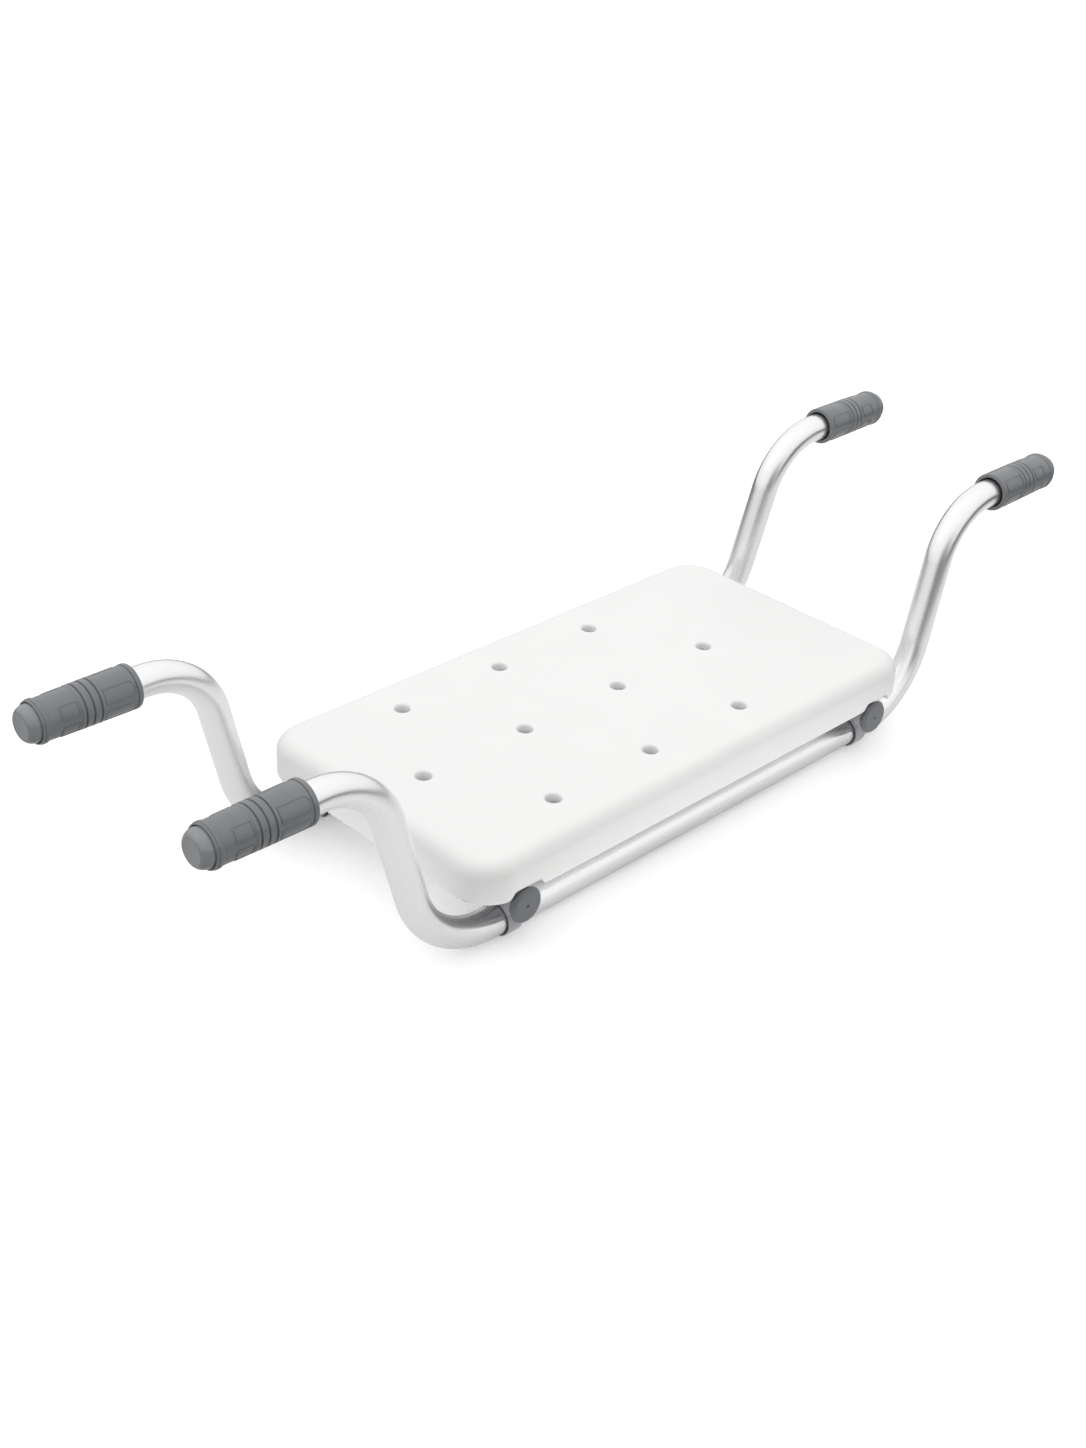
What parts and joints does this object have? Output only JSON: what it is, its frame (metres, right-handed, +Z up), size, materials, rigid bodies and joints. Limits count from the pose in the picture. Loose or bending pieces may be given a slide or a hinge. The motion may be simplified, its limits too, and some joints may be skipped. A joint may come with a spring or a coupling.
{
  "type": "bath seat",
  "caption": "Low seat board with drain holes on two bent tubes whose gripped ends rest on the rims of a bath.",
  "frame": {"origin": "on the ground under the middle of the seat board", "axes": "+X along the board towards its right-hand grips, -Y to the front, +Z up"},
  "size_m": [0.7828, 0.2142, 0.1677],
  "materials": {
    "board": "white moulded polyethylene, soft sheen",
    "tube": "satin anodised tube",
    "grip": "dark grey soft grip",
    "plug": "dark grey, smooth dome",
    "clamp": "mid grey moulded plastic",
    "cap": "dark grey moulded plastic",
    "steel": "zinc-plated steel"
  },
  "bodies": {
    "root": {"seat_board": "board", "front_tube": "tube", "back_tube": "tube", "front_left_grip": "grip", "front_left_end_plug": "plug", "front_left_clamp": "clamp", "front_left_cap": "cap", "front_left_clamp_bolt": "steel", "front_left_clamp_nut": "steel", "front_left_seat_screw_a": "steel", "front_left_seat_screw_b": "steel", "front_right_grip": "grip", "front_right_end_plug": "plug", "front_right_clamp": "clamp", "front_right_cap": "cap", "front_right_clamp_bolt": "steel", "front_right_clamp_nut": "steel", "front_right_seat_screw_a": "steel", "front_right_seat_screw_b": "steel", "back_left_grip": "grip", "back_left_end_plug": "plug", "back_left_clamp": "clamp", "back_left_cap": "cap", "back_left_clamp_bolt": "steel", "back_left_clamp_nut": "steel", "back_left_seat_screw_a": "steel", "back_left_seat_screw_b": "steel", "back_right_grip": "grip", "back_right_end_plug": "plug", "back_right_clamp": "clamp", "back_right_cap": "cap", "back_right_clamp_bolt": "steel", "back_right_clamp_nut": "steel", "back_right_seat_screw_a": "steel", "back_right_seat_screw_b": "steel"}
  },
  "joints": []
}
